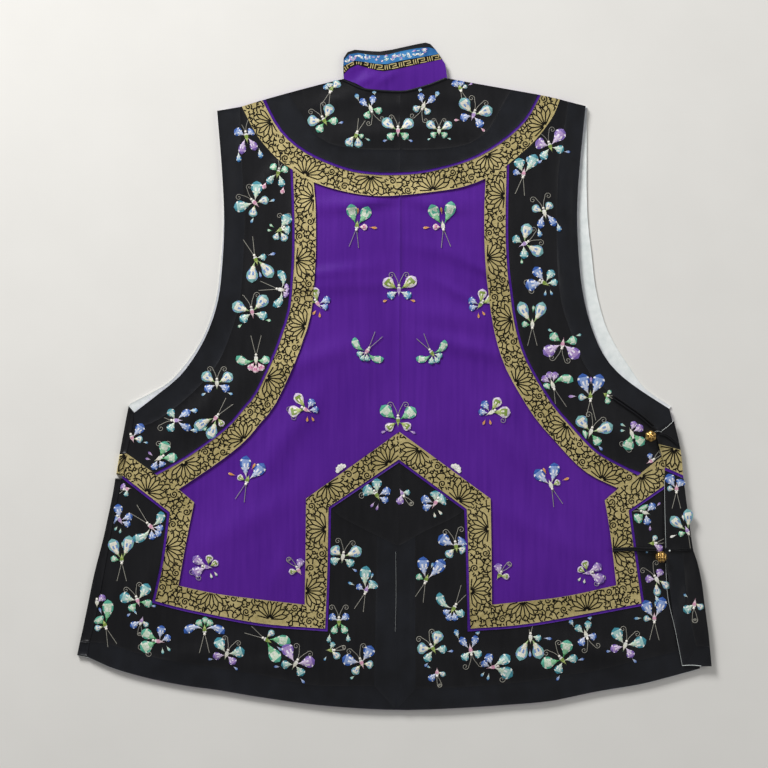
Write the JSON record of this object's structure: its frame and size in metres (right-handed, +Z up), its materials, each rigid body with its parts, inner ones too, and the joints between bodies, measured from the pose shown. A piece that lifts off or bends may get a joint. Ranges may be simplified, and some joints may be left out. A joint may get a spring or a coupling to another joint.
{
  "type": "waistcoat",
  "caption": "Sleeveless silk waistcoat laid flat on its front, back uppermost, with embroidered satin borders, woven ribbon, stand collar, hem vent and side ball buttons.",
  "frame": {"origin": "centre of the garment's box, on the surface that it lies on", "axes": "+Z up from the surface, +Y towards the collar, +X towards the wearer's right side"},
  "size_m": [0.6656, 0.7002, 0.0175],
  "materials": {
    "purple_silk": "soft silk sheen",
    "black_satin": "satin, embroidered",
    "plain_black_satin": "satin",
    "gold_ribbon": "woven, dull metallic gold",
    "purple_piping": "silk",
    "cotton_lining": "plain woven cotton, matt",
    "blue_ribbon": "woven and embroidered",
    "black_cord": "matt cord",
    "brass": "worn brass"
  },
  "bodies": {
    "root": {"armhole_band_left": "plain_black_satin", "armhole_band_right": "plain_black_satin", "armhole_border_left": "black_satin", "armhole_border_right": "black_satin", "armhole_piping_left": "purple_piping", "armhole_piping_right": "purple_piping", "armhole_ribbon_left": "gold_ribbon", "armhole_ribbon_right": "gold_ribbon", "back_ground_left": "purple_silk", "back_ground_right": "purple_silk", "button_loop_lower": "black_cord", "button_loop_upper": "black_cord", "button_lower": "brass", "button_strip_lower": "black_cord", "button_strip_upper": "black_cord", "button_upper": "brass", "collar_binding": "plain_black_satin", "collar_blue_ribbon": "blue_ribbon", "collar_fret_ribbon": "gold_ribbon", "collar_front": "purple_silk", "collar_silk": "purple_silk", "collar_wall": "purple_silk", "front_lining_left": "cotton_lining", "front_lining_right": "cotton_lining", "front_overlap": "purple_silk", "front_underlap": "purple_silk", "gore_left": "black_satin", "gore_right": "black_satin", "hem_band_left": "plain_black_satin", "hem_band_right": "plain_black_satin", "hem_border_left": "black_satin", "hem_border_right": "black_satin", "hem_piping_left": "purple_piping", "hem_piping_right": "purple_piping", "hem_ribbon_left": "gold_ribbon", "hem_ribbon_right": "gold_ribbon", "side_border_lower": "black_satin", "side_border_upper": "black_satin", "side_hem_band": "plain_black_satin", "side_ribbon": "gold_ribbon", "vent_band_left": "plain_black_satin", "vent_band_right": "plain_black_satin", "wrap_band": "plain_black_satin", "wrap_border_lower": "black_satin", "wrap_border_upper": "black_satin", "wrap_hem_band": "plain_black_satin", "wrap_piping": "purple_piping", "wrap_ribbon": "gold_ribbon", "yoke_band_left": "plain_black_satin", "yoke_band_right": "plain_black_satin", "yoke_border_left": "black_satin", "yoke_border_right": "black_satin", "yoke_piping": "purple_piping", "yoke_ribbon": "gold_ribbon"}
  },
  "joints": []
}
